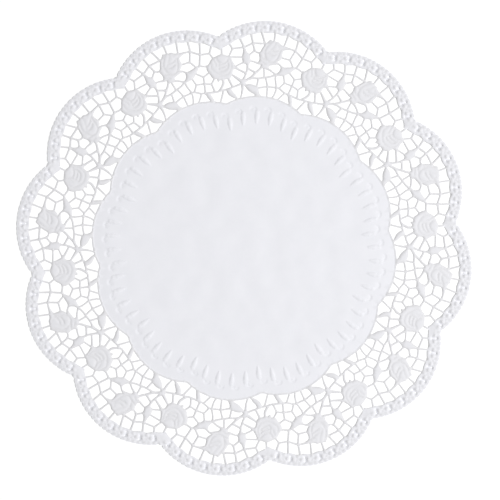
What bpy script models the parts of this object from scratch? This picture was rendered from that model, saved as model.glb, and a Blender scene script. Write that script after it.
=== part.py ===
"""A round paper lace doily: one flat die-cut and embossed sheet, lying face up on a table.

Metres, +Z up. The origin is the centre of the underside, and one scallop peaks on +X and one on +Y.
The lace is one repeat, charted in millimetres and turned round the centre twelve times.
"""
import bmesh
import bpy
from collections import namedtuple
from math import atan2, cos, degrees, hypot, radians, sin, sqrt
from mathutils import Vector
from mathutils.geometry import delaunay_2d_cdt

# ---------------------------------------------------------------- driving dimensions
MM = 0.001
REPEATS = 12                 # scallops round the doily
TURN = 360.0 / REPEATS       # degrees from one repeat to the next
SHEET = 1.0                  # thickness of the solid sheet, mm
BAR = 0.5                    # half the width of a net bar, mm
STEM = 0.7                   # half the width of a stem, mm
KNOB = 1.4                   # half the width of the knot where the stems part, mm

# A scalloped line is twelve equal arcs: how far out the middle of an arc lies, and its radius.
Scallop = namedtuple("Scallop", "middle radius")
EDGE = Scallop(119.1, 60.9)      # outer edge: 360 mm across the peaks
HUB = Scallop(70.5, 50.2)        # edge of the plain centre
EDGE_STEPS = 12                  # straight steps along one lobe of the outer edge

FLOWERS = 8                      # small flowers in the border of one repeat
FLOWER_PITCH = 11.9              # degrees from one flower to the next, about the middle of the arc
FIRST_FLOWER = 0.65              # where the flower nearest the scallop's peak lies, in those degrees
FLOWER_IN = 4.4                  # from the outer edge to a flower's middle, mm
FLOWER_RISE = 0.7
BRIDGE_RISE = 0.1                # what is left of the rise between two flowers

RIBS = 5                         # drop-shaped ribs in one repeat of the plain centre
RIB_TURN = TURN / RIBS
FIRST_RIB = -14.6                # degrees from the scallop's peak
RIB_IN = 16.4                    # from the centre's edge to the middle of a rib
RIB_RISE = 0.65
CRESCENT_AHEAD = 4.2             # degrees from a rib to the crescent groove beside it
CRESCENT_IN = 9.1                # from the centre's edge to the bottom of the groove
LIP_OUT = 1.4                    # from there outward to its raised lip
LIP_RISE = 0.3
CALM_RADIUS = 90.0               # the sheet is flat inside this ring

PAPER_COLOUR = (0.84, 0.84, 0.86, 1.0)
PAPER_ROUGHNESS = 0.85

# ---------------------------------------------------------------- chart of one repeat, mm
# A knot of the net: how far across (clockwise) and outward it lies from the doily's centre, with a
# scallop's peak straight outward, and the half-width of the paper there. Half-width 0 is a point on
# the outline of a flower or leaf.
Knot = namedtuple("Knot", "across outward half")

RIM = {
    "rim_a": Knot(-40.0, 154.6, BAR), "rim_b": Knot(-34.2, 158.0, BAR), "rim_c": Knot(-26.6, 163.4, BAR),
    "rim_d": Knot(-18.1, 167.8, BAR), "rim_e": Knot(-10.1, 170.6, BAR), "rim_f": Knot(0.8, 171.4, BAR),
    "rim_g": Knot(11.2, 170.6, BAR), "rim_h": Knot(19.7, 167.4, BAR), "rim_i": Knot(28.3, 163.0, BAR),
    "rim_j": Knot(36.0, 157.2, BAR),
}
NET = {
    "net_a": Knot(-31.1, 154.2, BAR), "net_b": Knot(-22.2, 156.6, BAR), "net_c": Knot(-15.7, 160.8, BAR),
    "net_d": Knot(-6.3, 161.6, BAR), "net_e": Knot(18.3, 159.3, BAR), "net_f": Knot(14.9, 151.6, BAR),
    "net_g": Knot(24.7, 154.0, BAR), "net_h": Knot(31.8, 152.3, BAR), "net_i": Knot(20.9, 146.0, BAR),
    "net_j": Knot(20.7, 136.8, BAR), "net_k": Knot(13.1, 133.1, BAR), "net_l": Knot(19.4, 131.6, BAR),
    "net_m": Knot(24.4, 129.2, BAR), "net_n": Knot(-13.0, 146.5, BAR), "net_o": Knot(1.0, 141.5, BAR),
    "net_p": Knot(-18.5, 122.0, BAR),
}
HUB_EDGE = {
    "hub_a": Knot(-34.5, 110.8, BAR), "hub_b": Knot(-29.7, 111.0, 0.0), "hub_c": Knot(-19.4, 116.5, BAR),
}
VINE = {
    "vine_a": Knot(20.0, 123.6, STEM), "vine_b": Knot(24.7, 122.4, STEM), "vine_c": Knot(28.2, 121.9, STEM),
    "vine_d": Knot(-33.4, 120.8, STEM), "vine_e": Knot(-26.8, 124.3, STEM),
    "vine_f": Knot(-21.0, 127.4, STEM),
    "fork": Knot(-19.6, 129.3, KNOB), "stem_a": Knot(-17.7, 136.4, STEM), "stem_b": Knot(-17.2, 140.6, STEM),
    "stem_c": Knot(-10.4, 138.0, STEM), "stem_d": Knot(-6.4, 143.2, STEM),
}
BUD = {
    "bud_a": Knot(0.6, 164.0, BAR), "bud_b": Knot(4.3, 164.3, 0.0), "bud_c": Knot(8.8, 161.2, BAR),
    "bud_d": Knot(11.5, 160.3, STEM), "bud_e": Knot(8.3, 156.5, 0.0), "bud_f": Knot(8.0, 152.4, BAR),
    "bud_g": Knot(5.0, 148.8, 0.0), "bud_h": Knot(5.9, 147.6, BAR), "bud_i": Knot(9.2, 144.9, BAR),
    "bud_j": Knot(0.0, 145.1, 0.0), "bud_k": Knot(-2.2, 142.5, STEM), "bud_l": Knot(-9.0, 145.5, STEM),
    "bud_m": Knot(-5.0, 162.5, 0.0), "bud_n": Knot(-2.5, 165.7, 0.0),
}
ROSE = {   # the rose on the clockwise side of the repeat
    "rose_a": Knot(33.2, 147.4, BAR), "rose_b": Knot(40.6, 147.4, BAR), "rose_c": Knot(42.6, 146.6, 0.0),
    "rose_d": Knot(45.3, 144.5, BAR), "rose_e": Knot(46.3, 143.6, BAR), "rose_f": Knot(46.1, 134.5, BAR),
    "rose_g": Knot(43.6, 132.8, 0.0), "rose_h": Knot(42.0, 130.4, BAR), "rose_i": Knot(34.0, 128.4, STEM),
    "rose_j": Knot(32.2, 129.6, 0.0), "rose_k": Knot(30.4, 128.7, 0.0), "rose_l": Knot(29.8, 131.2, 0.0),
    "rose_m": Knot(28.4, 132.7, BAR), "rose_n": Knot(26.2, 138.3, BAR), "rose_o": Knot(25.0, 141.0, 0.0),
    "rose_p": Knot(26.4, 143.3, BAR), "sepal_a": Knot(33.4, 126.2, STEM), "sepal_b": Knot(31.0, 124.0, STEM),
}
LEAVES = {
    "leaf_a": Knot(-22.6, 152.2, 0.0), "leaf_b": Knot(-22.2, 148.7, BAR), "leaf_c": Knot(-17.6, 143.2, STEM),
    "leaf_d": Knot(-16.0, 146.6, BAR),
    "side_a": Knot(18.3, 145.9, BAR), "side_b": Knot(11.6, 145.2, 0.0), "side_c": Knot(7.6, 141.8, 0.0),
    "side_d": Knot(5.6, 138.9, STEM), "side_e": Knot(11.8, 138.8, BAR), "side_f": Knot(16.0, 141.4, BAR),
    "side_g": Knot(19.0, 144.2, 0.0),
    "low_a": Knot(-16.0, 124.8, 0.0), "low_b": Knot(-8.4, 120.4, 0.0),
    "tip_a": Knot(21.7, 115.9, 0.0), "tip_b": Knot(20.7, 122.0, 0.0),
    "end_a": Knot(-29.2, 117.8, 0.0), "end_b": Knot(-22.9, 115.6, 0.0), "end_c": Knot(-21.7, 116.3, 0.0),
    "end_d": Knot(-24.6, 119.8, 0.0), "end_e": Knot(-28.6, 121.9, 0.0),
}
CHART = {**RIM, **NET, **HUB_EDGE, **VINE, **BUD, **ROSE, **LEAVES}

# The largest gaps of one repeat, each with the knots round it. A + is the next repeat's knot
# clockwise, a - the one before.
GAPS = {
    "rim_gap_1": "rim_a rim_b net_a rose_d- rose_c- rose_b-",
    "rim_gap_2": "rim_b rim_c net_b net_a",
    "rim_gap_3": "rim_c rim_d net_c net_b",
    "rim_gap_4": "rim_d rim_e net_d net_c",
    "rim_gap_5": "rim_e rim_f bud_a bud_n bud_m net_d",
    "rim_gap_6": "rim_f rim_g bud_c bud_b bud_a",
    "rim_gap_7": "rim_g rim_h net_e bud_d bud_c",
    "rim_gap_8": "rim_h rim_i net_g net_e",
    "rim_gap_9": "rim_i rim_j net_h net_g",
    "rim_gap_10": "rim_j rim_a+ rose_b rose_a net_h",
    "over_leaf": "net_a net_b leaf_a leaf_b rose_e- rose_d-",
    "under_bud": "leaf_d net_n bud_l stem_d stem_c stem_b leaf_c",
    "by_rose": "rose_f- stem_a fork rose_h- rose_g-",
    "sepals": "rose_m rose_l rose_k rose_j rose_i sepal_a sepal_b vine_c vine_b net_m",
    "by_bud": "net_e net_f bud_f bud_e bud_d",
    "over_side": "net_e net_g net_i side_a net_f",
    "rose_corner": "net_g net_h rose_a rose_p net_i",
    "rose_side": "net_i rose_p rose_o rose_n net_j side_f side_g",
    "bud_corner": "net_f side_a side_b bud_i bud_h bud_g bud_f",
    "curl": "bud_j bud_h bud_i side_c side_d net_o bud_k",
    "under_side": "side_e side_f net_j net_l net_k",
    "hub_gap_1": "vine_f vine_e end_e end_d end_c hub_c net_p fork",
    "hub_gap_2": "fork low_a low_b hub_c net_p",
    "hub_gap_3": "vine_a vine_b vine_c vine_d+ hub_a+ tip_a tip_b",
    "hub_gap_4": "vine_d end_a end_b hub_b hub_a",
}

# Raised points of the flowers and leaves: where the emboss stands up, and by how much, mm.
Raised = namedtuple("Raised", "across outward rise")
EMBOSS = (
    # the open rose: outer petals, the cup and its middle
    Raised(40.2, 145.2, 0.7), Raised(34.2, 144.6, 0.6), Raised(30.4, 143.4, 0.6), Raised(27.6, 140.6, 0.6),
    Raised(28.6, 135.2, 0.6), Raised(45.0, 140.0, 0.6), Raised(44.0, 135.8, 0.5), Raised(37.2, 131.4, 0.6),
    Raised(37.0, 134.6, 0.9), Raised(32.6, 137.0, 0.3), Raised(36.0, 141.6, 0.3), Raised(42.6, 139.0, 0.3),
    Raised(38.0, 138.6, 0.9),
    # the bud: three folded petals over a cup
    Raised(-3.4, 158.4, 0.8), Raised(3.6, 160.4, 0.8), Raised(-0.4, 156.4, 0.3), Raised(6.6, 155.0, 0.6),
    Raised(0.4, 151.0, 0.9), Raised(-7.2, 152.4, 0.6), Raised(-5.0, 148.0, 0.6), Raised(0.6, 147.0, 0.3),
    # the leaves, along their midribs
    Raised(-20.6, 150.6, 0.6), Raised(-18.8, 146.2, 0.6), Raised(11.0, 142.4, 0.6), Raised(15.6, 144.0, 0.6),
    Raised(-12.6, 125.6, 0.6), Raised(-8.0, 123.4, 0.5), Raised(19.6, 119.6, 0.4), Raised(-26.2, 118.6, 0.4),
)


# ---------------------------------------------------------------- plane geometry of the chart, mm
def turned(across, outward, angle):
    """Turn a chart point clockwise by an angle in degrees."""
    c, s = cos(radians(angle)), sin(radians(angle))
    return across * c + outward * s, outward * c - across * s


def polar(radius, angle):
    """Point at a radius and at an angle clockwise from straight outward."""
    return radius * sin(radians(angle)), radius * cos(radians(angle))


def lobe_radius(scallop, angle):
    """Distance from the doily's centre to a scalloped line."""
    off_peak = radians((angle + TURN / 2) % TURN - TURN / 2)
    return scallop.middle * cos(off_peak) + sqrt(scallop.radius ** 2 - (scallop.middle * sin(off_peak)) ** 2)


def knot(name):
    """A knot of this repeat, or of the next (+) or previous (-) one."""
    step = {"+": TURN, "-": -TURN}.get(name[-1], 0.0)
    found = CHART[name.rstrip("+-")]
    return Knot(*turned(found.across, found.outward, step), found.half)


def shifted_side(start, end, winding):
    """One side of a gap, moved off its centre line by the paper's half-width at each end."""
    run_x, run_y = end.across - start.across, end.outward - start.outward
    length = hypot(run_x, run_y)
    inward_x, inward_y = -run_y / length * winding, run_x / length * winding
    first = Vector((start.across + inward_x * start.half, start.outward + inward_y * start.half))
    last = Vector((end.across + inward_x * end.half, end.outward + inward_y * end.half))
    return first, last


def crossing(side, following):
    """Corner where two neighbouring sides meet; nearly straight corners take the midpoint."""
    (a, b), (c, d) = side, following
    along, across = b - a, d - c
    spread = along.x * across.y - along.y * across.x
    if abs(spread) < 0.09 * along.length * across.length:
        return (b + c) / 2
    reach = ((c.x - a.x) * across.y - (c.y - a.y) * across.x) / spread
    return a + along * reach


def gap_corners(names):
    """Corners of a gap, anticlockwise: the ring of its knots, drawn in by the half-width of the paper."""
    ring = [knot(name) for name in names.split()]
    pairs = list(zip(ring, ring[1:] + ring[:1]))
    doubled = sum(p.across * q.outward - q.across * p.outward for p, q in pairs)
    winding = 1 if doubled > 0 else -1
    sides = [shifted_side(p, q, winding) for p, q in pairs]
    corners = [crossing(sides[i - 1], sides[i]) for i in range(len(sides))]
    return [(corner.x, corner.y) for corner in corners][::winding]


def outer_edge():
    """The scalloped outer edge, once round, anticlockwise."""
    steps = REPEATS * EDGE_STEPS
    angles = [-TURN / EDGE_STEPS * i for i in range(steps)]
    return [polar(lobe_radius(EDGE, angle), angle) for angle in angles]


# ---------------------------------------------------------------- raised points of one repeat, mm
def border_points():
    """A peak on each small flower of the border and a low on the bridge after it."""
    points = []
    for i in range(FLOWERS):
        angle = FIRST_FLOWER + FLOWER_PITCH * (i - FLOWERS / 2)
        for step, rise in ((0.0, FLOWER_RISE), (FLOWER_PITCH / 2, BRIDGE_RISE)):
            across, outward = polar(EDGE.radius - FLOWER_IN, angle + step)
            points.append(Raised(across, EDGE.middle + outward, rise))
    return points


def rib_points():
    """Each rib is a small bead and a long drop inward of it, ringed by flat paper."""
    profile = (   # in from the rib's middle, to one side, rise
        (-7.0, 0.0, 0.0), (-5.2, 0.0, 0.7), (-3.4, 0.0, 0.3), (-1.2, 0.0, 1.0), (2.6, 0.0, 0.6),
        (-4.6, 2.0, 0.0), (-4.6, -2.0, 0.0), (-0.8, 2.2, 0.0), (-0.8, -2.2, 0.0), (5.4, 0.0, 0.0),
    )
    points = []
    for i in range(RIBS):
        angle = FIRST_RIB + RIB_TURN * i
        middle = lobe_radius(HUB, angle) - RIB_IN
        for inward, aside, rise in profile:
            radius = middle - inward
            point = polar(radius, angle + degrees(atan2(aside, radius)))
            points.append(Raised(*point, rise * RIB_RISE))
    return points


def crescent_points():
    """Beside each rib a crescent groove is pressed in: its raised outer lip and its flat bottom."""
    points = []
    for i in range(RIBS):
        angle = FIRST_RIB + RIB_TURN * i + CRESCENT_AHEAD
        radius = lobe_radius(HUB, angle) - CRESCENT_IN
        points.append(Raised(*polar(radius + LIP_OUT, angle), LIP_RISE))
        points.append(Raised(*polar(radius, angle), 0.0))
    return points


def raised_points():
    """All raised points, round the doily, with a flat ring that keeps the centre level."""
    repeat = border_points() + rib_points() + crescent_points() + list(EMBOSS)
    repeat += [Raised(*polar(CALM_RADIUS, RIB_TURN * i), 0.0) for i in range(RIBS)]
    return [Raised(*turned(p.across, p.outward, TURN * n), p.rise) for n in range(REPEATS) for p in repeat]


# ---------------------------------------------------------------- the sheet
def triangles(loops, extra=()):
    """Fill the first loop, leaving the others open, through the extra points: faces by point number."""
    points = [Vector(p) for loop in loops for p in loop] + [Vector(p) for p in extra]
    outlines = []
    first = 0
    for loop in loops:
        outlines.append(list(range(first, first + len(loop))))
        first += len(loop)
    enclosed = 1
    _, _, faces, sources, _, covering = delaunay_2d_cdt(points, [], outlines, enclosed, 1e-6)
    number = [source[0] for source in sources]
    return [[number[i] for i in face] for face, cover in zip(faces, covering) if cover == [0]]


def metres(point, height):
    """Vertex position of a chart point at a height above the table."""
    return point[0] * MM, point[1] * MM, height * MM


def lace_mesh():
    """Flat underside, straight cut walls, and a top face whose points carry the emboss."""
    gaps = [gap_corners(names) for names in GAPS.values()]
    loops = [outer_edge()]
    loops += [[turned(*corner, TURN * n) for corner in gap] for n in range(REPEATS) for gap in gaps]
    raised = raised_points()

    bm = bmesh.new()
    under = [bm.verts.new(metres(point, 0.0)) for loop in loops for point in loop]
    for face in triangles(loops):
        bm.faces.new([under[i] for i in face])
    rims = [edge for edge in bm.edges if edge.is_boundary]
    walls = bmesh.ops.extrude_edge_only(bm, edges=rims)["geom"]
    lifted = {item for item in walls if isinstance(item, bmesh.types.BMVert)}
    for vert in lifted:
        vert.co.z = SHEET * MM

    def above(vert):
        return next(edge.other_vert(vert) for edge in vert.link_edges if edge.other_vert(vert) in lifted)

    top = [above(vert) for vert in under]
    top += [bm.verts.new(metres((p.across, p.outward), SHEET + p.rise)) for p in raised]
    for face in triangles(loops, [(p.across, p.outward) for p in raised]):
        bm.faces.new([top[i] for i in face])
    bmesh.ops.recalc_face_normals(bm, faces=bm.faces)
    mesh = bpy.data.meshes.new("paper_lace")
    bm.to_mesh(mesh)
    bm.free()
    return mesh


def paper_material():
    """Uncoated white paper."""
    material = bpy.data.materials.new("white_paper")
    material.use_nodes = True
    shader = material.node_tree.nodes["Principled BSDF"]
    shader.inputs["Base Color"].default_value = PAPER_COLOUR
    shader.inputs["Roughness"].default_value = PAPER_ROUGHNESS
    shader.inputs["Metallic"].default_value = 0.0
    return material


def main():
    for old in list(bpy.data.objects):
        bpy.data.objects.remove(old, do_unlink=True)
    collection = bpy.data.collections.new("lace_doily")
    bpy.context.scene.collection.children.link(collection)
    lace = bpy.data.objects.new("paper_lace", lace_mesh())
    lace.data.materials.append(paper_material())
    collection.objects.link(lace)


main()
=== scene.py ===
# %% [markdown]
# # A round paper lace doily
# The real doily is one sheet of thin white paper. A machine stamps it in one stroke: a die cuts the
# holes of the net and the scalloped edge, and an embossing plate presses roses, buds, leaves and small
# border flowers up from below. So there is nothing to join here, and one mesh is the honest way to
# make it. The lesson charts one repeat of the lace, turns it round the centre twelve times, works out
# how high the plate lifts each point, and fills the paper between the holes with triangles.

# %% Load the fixed frame
from collections import Counter, namedtuple
from itertools import product
from math import acos, atan2, cos, degrees, hypot, isclose, pi, radians, sin, sqrt, tan

import bmesh
import bpy
import numpy as np
from mathutils.geometry import delaunay_2d_cdt
from mathutils.noise import noise as swelling
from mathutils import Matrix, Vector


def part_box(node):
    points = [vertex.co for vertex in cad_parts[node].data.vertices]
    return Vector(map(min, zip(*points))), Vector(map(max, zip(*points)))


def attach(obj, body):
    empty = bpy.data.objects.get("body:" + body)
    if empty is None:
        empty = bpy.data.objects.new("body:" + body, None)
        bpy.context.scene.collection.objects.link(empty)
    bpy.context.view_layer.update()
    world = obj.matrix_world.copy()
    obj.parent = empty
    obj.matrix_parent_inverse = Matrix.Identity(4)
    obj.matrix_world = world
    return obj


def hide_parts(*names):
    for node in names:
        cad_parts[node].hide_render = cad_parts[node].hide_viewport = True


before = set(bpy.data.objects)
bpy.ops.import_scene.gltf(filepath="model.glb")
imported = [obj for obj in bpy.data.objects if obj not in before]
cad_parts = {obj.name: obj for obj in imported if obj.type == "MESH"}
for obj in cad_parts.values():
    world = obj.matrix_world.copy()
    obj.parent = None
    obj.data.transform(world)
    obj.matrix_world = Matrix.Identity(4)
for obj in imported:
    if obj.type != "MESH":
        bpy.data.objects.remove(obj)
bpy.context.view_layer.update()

SOLID = "paper_lace"
solid_low, solid_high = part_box(SOLID)
SPAN = solid_high[0] - solid_low[0]      # across two opposite scallop peaks, metres
CHART_SPAN = 360.0                       # the same distance in the chart below
MM = SPAN / CHART_SPAN                   # metres in one unit of the chart
print(f"the doily is {SPAN * 1000:.1f} mm across, so one chart unit is {MM * 1000:.3f} mm")

# %% [markdown]
# ## The camera
# A flat design reads best from straight above, with a long lens so that nothing leans. The distance
# follows from the width that the picture has to take in. Turning the camera about its own axis is
# enough to bring the scallops into the right places, because the doily itself stays on its frame.

# %% Camera
IMAGE_SIDE = 500                  # pixels
DOILY_SIDE = 458.5                # pixels between two opposite scallop peaks
DOILY_MIDDLE = (244.3, 248.3)     # pixel of the doily's centre, counted from the top left
ROLL = 8.07                       # degrees that the camera is turned about the upright axis
LENS = 0.085                      # metres
SENSOR = 0.036                    # metres

pixel = SPAN / DOILY_SIDE
view_width = IMAGE_SIDE * pixel
across_image = (cos(radians(ROLL)), sin(radians(ROLL)))
up_image = (-across_image[1], across_image[0])
shift_across = (IMAGE_SIDE / 2 - DOILY_MIDDLE[0]) * pixel
shift_up = (DOILY_MIDDLE[1] - IMAGE_SIDE / 2) * pixel


def stand(name, data, place=(0.0, 0.0, 0.0), turn=(0.0, 0.0, 0.0)):
    """Put a new object into the scene."""
    made = bpy.data.objects.new(name, data)
    made.location = place
    made.rotation_euler = turn
    bpy.context.scene.collection.objects.link(made)
    return made


camera = stand("camera", bpy.data.cameras.new("camera"), (
    across_image[0] * shift_across + up_image[0] * shift_up,
    across_image[1] * shift_across + up_image[1] * shift_up,
    solid_high[2] + view_width * LENS / SENSOR,
), (0.0, 0.0, radians(ROLL)))
camera.data.lens = LENS * 1000
camera.data.sensor_width = SENSOR * 1000
bpy.context.scene.camera = camera
print(f"camera {camera.location.z:.3f} m up, seeing {view_width * 1000:.0f} mm across")

# %% [markdown]
# ## Soft light from one side
# White paper on a white table shows only through its shading. One large lamp stands high on the right.
# A flank that faces away from it turns grey, and so does any steep flank, because it meets the light
# at a slant, so the fine bars read as grey lines in every direction. An even white surround keeps the
# grey pale. The table glows faintly, which lets it come out whiter than the paper.

# %% Light and floor
LAMP_AWAY = 3.4                   # metres from the doily
LAMP_SIZE = 0.9                   # metres, square
LAMP_POWER = 92.0                 # watts
LAMP_HEIGHT = 58.0                # degrees above the table
LAMP_SIDE = ROLL - 5.0            # degrees round the upright axis: just below the right of the picture
SURROUND = 0.40                   # brightness of the surround
WHITE = (1.0, 1.0, 1.0, 1.0)
FLOOR_SIDE = 6.0                  # metres

along_floor = LAMP_AWAY * cos(radians(LAMP_HEIGHT))
lamp = stand("lamp", bpy.data.lights.new("lamp", "AREA"), (
    along_floor * cos(radians(LAMP_SIDE)),
    along_floor * sin(radians(LAMP_SIDE)),
    LAMP_AWAY * sin(radians(LAMP_HEIGHT)),
), (0.0, radians(90.0 - LAMP_HEIGHT), radians(LAMP_SIDE)))
lamp.data.size = LAMP_SIZE
lamp.data.energy = LAMP_POWER

world = bpy.data.worlds.new("white_surround")
world.use_nodes = True
background = world.node_tree.nodes["Background"].inputs
background["Color"].default_value = WHITE
background["Strength"].default_value = SURROUND
bpy.context.scene.world = world
bpy.context.scene.view_settings.view_transform = "Standard"

floor_mesh = bpy.data.meshes.new("floor")
floor_bm = bmesh.new()
bmesh.ops.create_grid(floor_bm, x_segments=1, y_segments=1, size=FLOOR_SIDE / 2)
floor_bm.to_mesh(floor_mesh)
floor_bm.free()
floor = stand("floor", floor_mesh, (0.0, 0.0, solid_low[2]))
print(f"one lamp {LAMP_HEIGHT:.0f} degrees up, floor at z = {floor.location.z:.4f} m")

# %% [markdown]
# ## Two scalloped lines and a way to turn
# The whole doily follows two scalloped lines, the outer edge and the edge of the plain centre, and a
# third one where the border meets the net. Each scallop is an arc of a circle whose middle lies on a
# ray from the doily's centre, so two numbers describe each line: how far out the arc's middle is, and
# its radius. Angles run clockwise from a scallop's peak, and the chart is drawn with that peak up.

# %% Scalloped lines
REPEATS = 12
TURN = 360.0 / REPEATS                       # degrees from one repeat to the next
ALL_ROUND = [TURN * n for n in range(REPEATS)]
NEARBY = (-TURN, 0.0, TURN)                  # to the repeat before, this one and the next
Scallop = namedtuple("Scallop", "middle radius")    # both in mm
EDGE = Scallop(119.1, 60.9)                  # the outer edge
BORDER = Scallop(116.3, 53.9)                # where the border meets the net
HUB = Scallop(70.5, 50.2)                    # the edge of the plain centre


def turned(points, angle):
    """Chart points turned clockwise by an angle in degrees."""
    c, s = cos(radians(angle)), sin(radians(angle))
    return np.asarray(points) @ np.array([[c, -s], [s, c]])


def polar(radius, angle):
    """Chart point at a radius and an angle."""
    return np.array([radius * np.sin(np.radians(angle)), radius * np.cos(np.radians(angle))])


def angles_of(points):
    """Angles of chart points, clockwise from the peak, in degrees."""
    return np.degrees(np.arctan2(points[:, 0], points[:, 1]))


def lobe_radius(line, angle):
    """Distance from the doily's centre to a scalloped line, for one angle or many."""
    off_peak = np.radians((angle + TURN / 2) % TURN - TURN / 2)
    along = line.middle * np.cos(off_peak)
    return along + np.sqrt(line.radius ** 2 - (line.middle * np.sin(off_peak)) ** 2)


print("radii at a peak and in a valley:")
for name, line in (("edge", EDGE), ("border", BORDER), ("centre", HUB)):
    print(f"  {name}: {lobe_radius(line, 0.0):.1f} and {lobe_radius(line, TURN / 2):.1f} mm")

# %% Points by a scallop's own arc
def inside_line(line, points):
    """True for points nearer the centre than a scalloped line."""
    return np.hypot(*points.T) < lobe_radius(line, angles_of(points))


def on_lobe(line, lobe_angle, inward=0.0):
    """Chart point on a line's own arc, by the angle about the arc's middle."""
    return np.array([0.0, line.middle]) + polar(line.radius - inward, lobe_angle)


def lobe_frame(line, points):
    """Each point's angle about the middle of its scallop's arc, and how far inside the arc it lies."""
    radius = np.hypot(*points.T)
    off_peak = np.radians((angles_of(points) + TURN / 2) % TURN - TURN / 2)
    across, outward = radius * np.sin(off_peak), radius * np.cos(off_peak) - line.middle
    return np.degrees(np.arctan2(across, outward)), line.radius - np.hypot(across, outward)


_, border_width = lobe_frame(EDGE, np.array([on_lobe(BORDER, 0.0)]))
print(f"the border is {border_width[0]:.1f} mm wide at a peak")

# %% [markdown]
# ## Charting the net
# Lace like this is drawn as knots with bars between them. Each knot has a place and the half-width of
# the paper there, so a bar can taper from one knot to the next. All places are in millimetres from
# the doily's centre: across, then outward. Only one repeat is drawn. A knot of the next repeat
# clockwise is called by the same name with a plus, and one of the repeat before with a minus.

# %% Knots, and where the bars leave the border
Knot = namedtuple("Knot", "across outward half")
BAR_SCALE = 1.22         # cut width of a bar for its charted width, which is that of its flat top
CHART = {}


def chart(name, rows):
    """Add numbered knots from rows of across, outward and, where a bar meets the knot, half-width, mm."""
    for number, (across, outward, *half) in enumerate(rows, 1):
        CHART[f"{name}_{number:02d}"] = Knot(across, outward, sum(half) * BAR_SCALE)
    print(f"{name}: {len(rows)} knots")


def knot(name):
    """A knot of this repeat, or of the next (+) or previous (-) one."""
    step = {"+": TURN, "-": -TURN}.get(name[-1], 0.0)
    found = CHART[name.rstrip("+-")]
    return Knot(*turned(found[:2], step), found.half)


chart("rim", (
    (-40.0, 155.0, 0.5), (-34.2, 158.2, 0.5), (-26.6, 163.4, 0.5), (-18.1, 167.8, 0.5),
    (-10.1, 170.6, 0.5), (0.8, 171.4, 0.5), (11.2, 170.6, 0.5), (19.7, 167.4, 0.5), (28.3, 163.6, 0.5),
    (36.0, 157.6, 0.5),
))

# %% The free net, and the chain of meshes above the plain centre
chart("net", (
    (-31.1, 154.2, 0.55), (-22.2, 156.6, 0.6), (-15.7, 160.8, 0.6), (-6.3, 161.6, 0.6),
    (18.3, 159.3, 0.6), (14.9, 151.6, 0.55), (24.7, 154.0, 0.6), (31.8, 152.3, 0.55),
    (20.9, 146.0, 0.6), (20.7, 136.8, 0.55), (13.1, 133.1, 0.5), (19.4, 131.6, 0.55),
    (24.4, 129.2, 0.55), (-13.0, 146.5, 0.5), (1.0, 141.5, 0.5), (-18.5, 122.0, 0.5),
    (-13.6, 155.1, 0.6), (-11.2, 153.8, 0.5), (16.0, 132.4, 0.5), (-0.8, 132.0, 0.5), (6.5, 131.8, 0.5),
    (5.5, 135.4, 0.5), (7.1, 124.2, 0.5),
))
chart("chain", (
    (-6.9, 126.3, 0.6), (-3.0, 127.6, 0.55), (0.4, 128.5, 0.55), (3.6, 128.4, 0.55), (7.4, 128.8, 0.55),
    (9.6, 128.4, 0.55), (12.4, 126.5, 0.55), (14.5, 125.3, 0.5), (17.4, 124.3, 0.6),
))
chart("centre", (
    (-34.5, 110.8, 0.5), (-19.4, 116.5, 0.5), (0.8, 120.1, 0.5), (5.2, 120.1, 0.5), (9.7, 119.4, 0.5),
))

# %% [markdown]
# ## Vine, stems and buds
# One wavy vine runs round the doily. It carries a fork in each repeat, and from the fork a stalk and a
# twig climb to the bud. They are bars too, only wider, with the last knot of the vine as the blob
# where the stems part.

# %% Vine, stem, stalk and twig
chart("vine", (
    (20.0, 123.6, 0.7), (24.7, 122.4, 0.6), (27.2, 121.7, 0.6), (-36.4, 120.2, 0.7),
    (-33.4, 120.8, 0.6), (-31.0, 121.9, 0.6), (-28.6, 122.8, 0.7), (-26.8, 124.3, 0.6),
    (-24.0, 125.6, 0.6), (-21.0, 127.4, 0.7), (-19.6, 129.3, 1.2),
))
chart("stem", (
    (-18.4, 134.0, 0.6), (-17.7, 136.4, 0.6), (-17.2, 140.6, 0.6),
))
chart("stalk", (
    (-16.2, 131.6, 0.8), (-13.6, 133.6, 0.8), (-12.2, 135.4, 0.7), (-10.4, 138.0, 0.7),
    (-8.0, 140.6, 0.7), (-6.4, 143.2, 0.7),
))
chart("twig", (
    (-10.0, 133.6, 0.6), (-7.6, 133.9, 0.6), (-3.2, 135.1, 0.6), (-2.2, 135.4, 0.6), (1.6, 136.4, 0.6),
    (4.6, 138.0, 0.7),
))

# %% [markdown]
# ## Flowers and leaves
# A flower or leaf is an area of whole paper with gaps all round it, so its outline is just a row of
# points that the gaps share. A point on an outline has no width of its own, except where a bar meets
# it. The outlines run clockwise, and small steps in them make the petals' scalloped rims.

# %% The bud, its side arm and the curl under it
chart("bud", (
    (0.6, 164.0, 0.55), (2.2, 164.3), (4.3, 164.3), (5.3, 163.1), (6.8, 162.3), (8.8, 161.2, 0.5),
    (8.6, 157.6), (8.2, 155.5), (8.0, 152.4, 0.5), (7.7, 151.0), (6.4, 149.4), (4.8, 148.8),
    (1.0, 145.3), (-0.8, 144.8), (-2.2, 142.5, 0.75), (-4.4, 142.6, 0.5), (-7.4, 144.9),
    (-9.0, 145.5, 0.7), (-9.1, 147.9), (-8.8, 149.8), (-9.8, 151.8), (-9.4, 153.8, 0.5), (-8.7, 155.6),
    (-8.1, 157.8), (-6.9, 160.0), (-5.0, 162.5), (-3.6, 164.2), (-2.5, 165.7), (-1.2, 164.8),
))
chart("arm", (
    (8.6, 159.6, 1.3), (11.5, 160.3, 0.75), (15.0, 160.0, 0.55),
))
chart("curl", (
    (2.6, 146.7, 0.6), (5.9, 147.6, 0.6), (7.8, 146.7, 0.55), (9.2, 144.9, 0.5), (4.4, 139.2, 0.6),
))

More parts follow.
